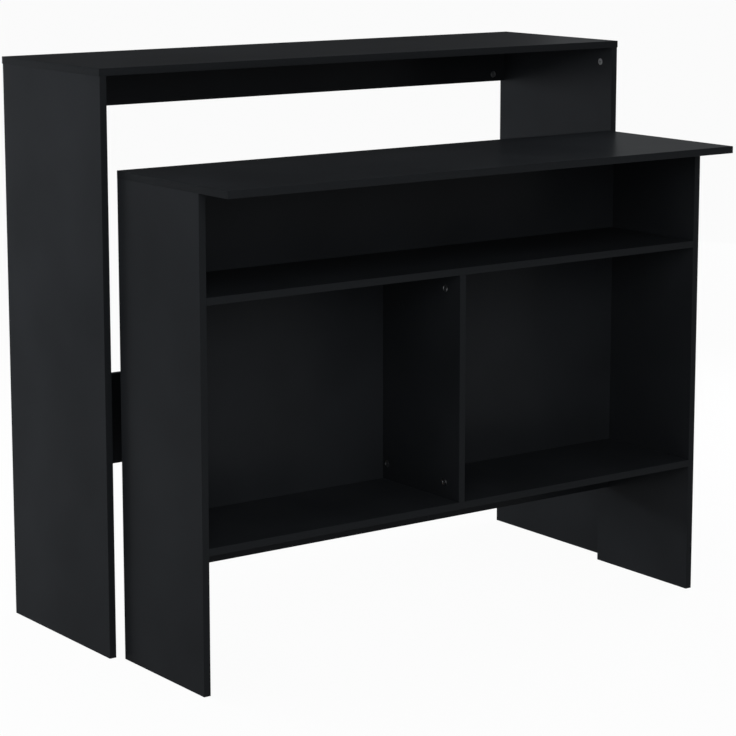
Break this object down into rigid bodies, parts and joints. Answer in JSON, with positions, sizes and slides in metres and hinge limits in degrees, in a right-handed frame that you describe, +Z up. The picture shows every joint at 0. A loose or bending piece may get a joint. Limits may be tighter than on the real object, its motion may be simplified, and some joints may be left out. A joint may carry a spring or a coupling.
{
  "type": "bar table",
  "caption": "Nesting bar table: an open tall table, and a low table with a top compartment and two bays that slides in under it.",
  "frame": {"origin": "on the floor, midway along the length and midway from the front of the low table's top to the back of the tall table, as they stand in the picture", "axes": "+X along the tables to the right, +Y from the customer's low side at the front to the back of the tall table, +Z up"},
  "size_m": [1.35, 0.818, 1.2],
  "materials": {
    "melamine_board": "black melamine facing with a fine satin texture, on chipboard",
    "edging": "black melamine edging strip, satin",
    "cam_zinc": "bright cast zinc with a cross-shaped recess",
    "bolt_steel": "zinc-plated steel",
    "dowel_beech": "plain beech"
  },
  "bodies": {
    "tall_table": {"tall_top": "melamine_board", "tall_side_left": "melamine_board", "tall_side_right": "melamine_board", "tall_apron": "melamine_board", "tall_stretcher": "melamine_board", "tall_edging": "edging", "tall_top_cams": "cam_zinc", "tall_top_bolts": "bolt_steel", "tall_top_dowels": "dowel_beech", "tall_apron_cams": "cam_zinc", "tall_apron_bolts": "bolt_steel", "tall_apron_dowels": "dowel_beech", "tall_stretcher_cams": "cam_zinc", "tall_stretcher_bolts": "bolt_steel", "tall_stretcher_dowels": "dowel_beech"},
    "low_table": {"low_top": "melamine_board", "low_side_left": "melamine_board", "low_side_right": "melamine_board", "low_shelf": "melamine_board", "low_bottom_shelf": "melamine_board", "low_divider": "melamine_board", "low_back_upper": "melamine_board", "low_back_left": "melamine_board", "low_back_right": "melamine_board", "low_rail": "melamine_board", "low_edging": "edging", "low_top_cams": "cam_zinc", "low_top_bolts": "bolt_steel", "low_top_dowels": "dowel_beech", "low_shelf_cams": "cam_zinc", "low_shelf_bolts": "bolt_steel", "low_shelf_dowels": "dowel_beech", "low_bottom_cams": "cam_zinc", "low_bottom_bolts": "bolt_steel", "low_bottom_dowels": "dowel_beech", "low_divider_cams": "cam_zinc", "low_divider_bolts": "bolt_steel", "low_divider_dowels": "dowel_beech", "low_back_cams": "cam_zinc", "low_back_bolts": "bolt_steel", "low_back_dowels": "dowel_beech"}
  },
  "joints": [
    {"name": "low_table_slide", "type": "slide", "parent": "tall_table", "child": "low_table", "axis": [0, 1, 0], "range_m": [0, 0.4]}
  ]
}
